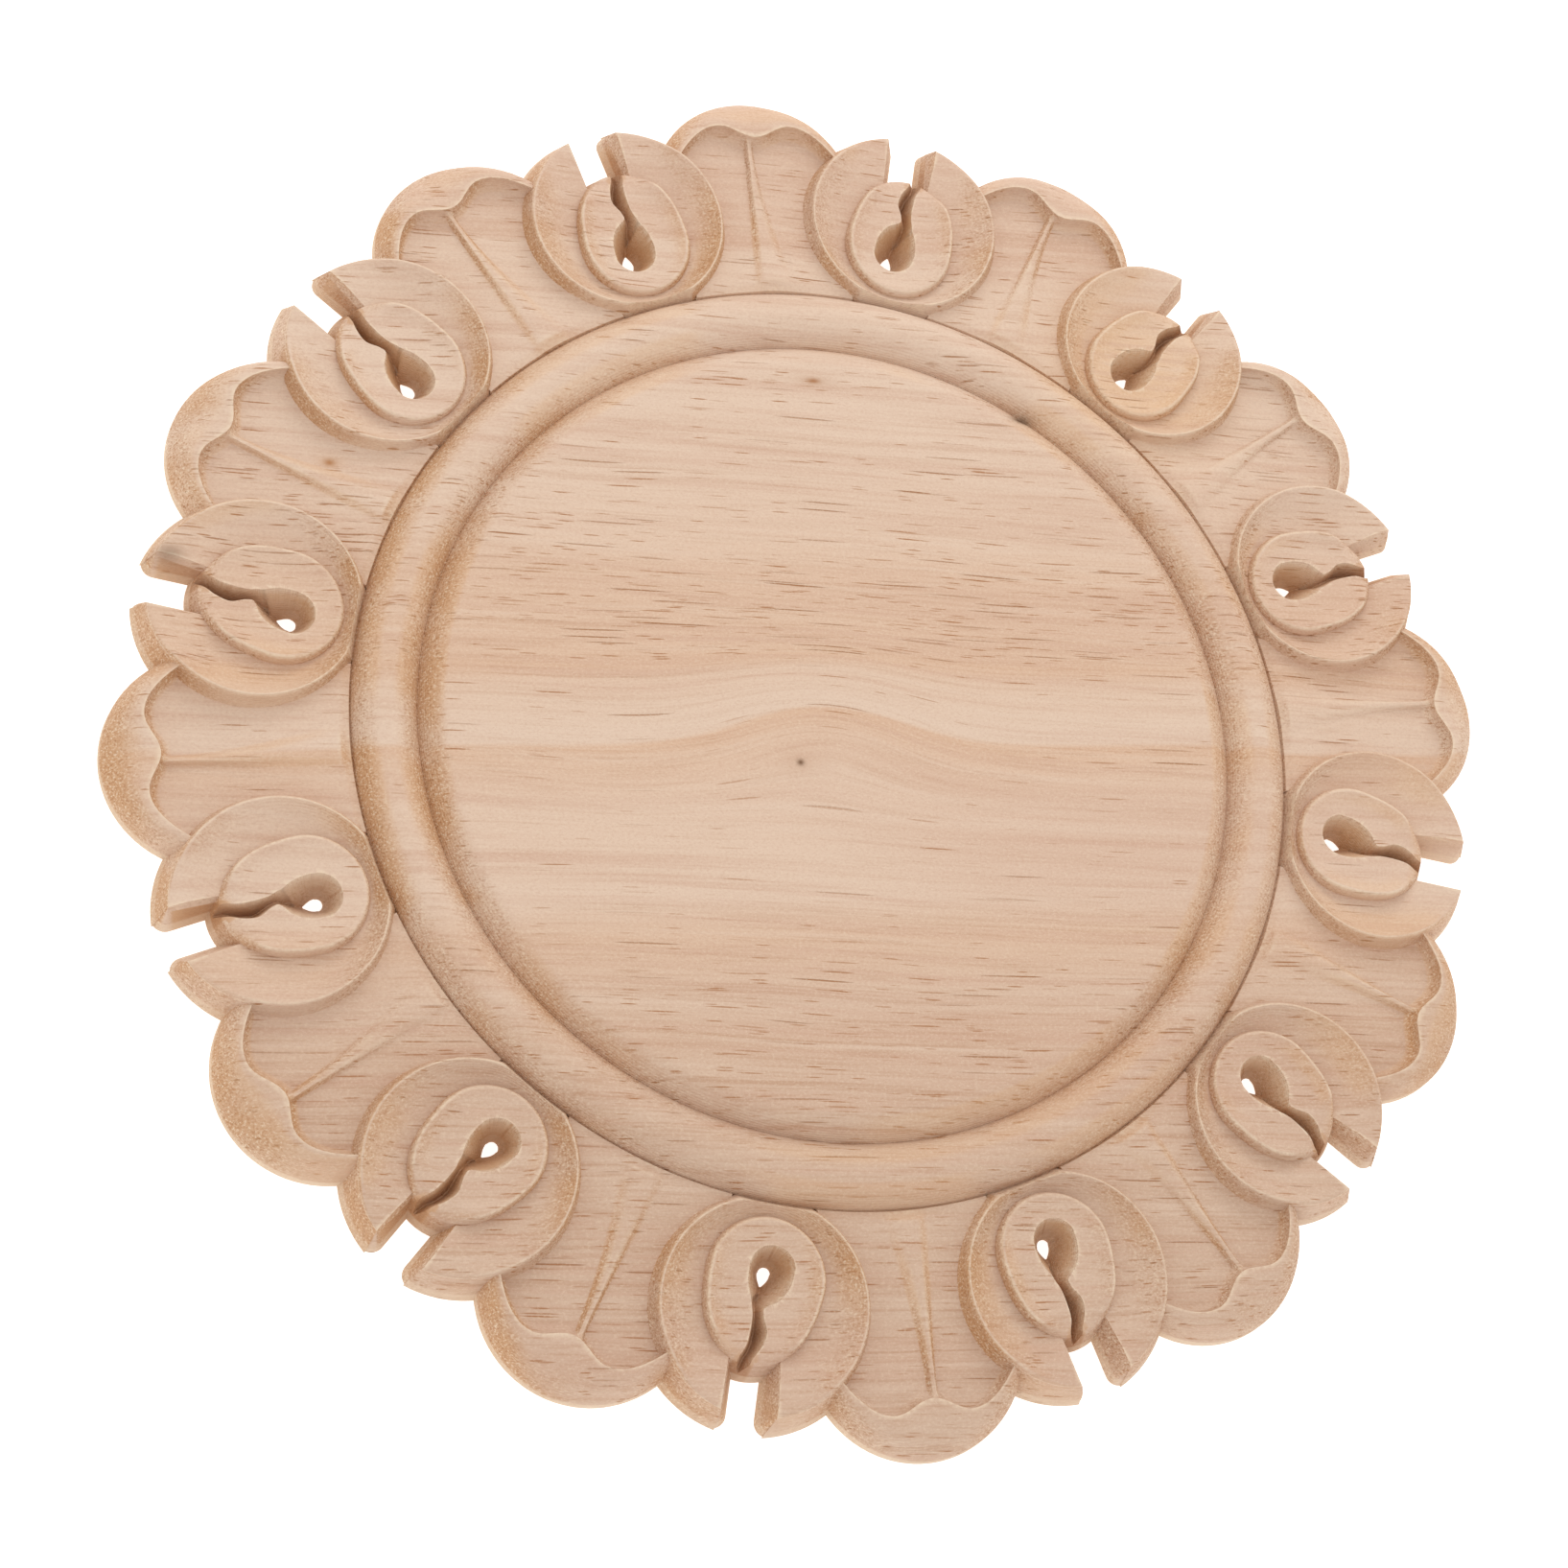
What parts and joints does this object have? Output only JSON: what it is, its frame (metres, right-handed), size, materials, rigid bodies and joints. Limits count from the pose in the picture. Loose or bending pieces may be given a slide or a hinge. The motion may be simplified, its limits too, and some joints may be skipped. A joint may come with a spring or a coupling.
{
  "type": "carved wood rosette applique",
  "caption": "Round carved wood rosette with a flat disc inside a bead ring, edged with scalloped petals and pierced buds between them.",
  "frame": {"origin": "centre of the flat back face", "axes": "+Z out of the carved face, away from what the rosette is fixed to; +Y toward the middle of a petal; +X to the right"},
  "size_m": [0.3, 0.3, 0.0105],
  "materials": {
    "wood": "bare carved wood, unfinished and matt"
  },
  "bodies": {
    "root": {"carved_rosette": "wood"}
  },
  "joints": []
}
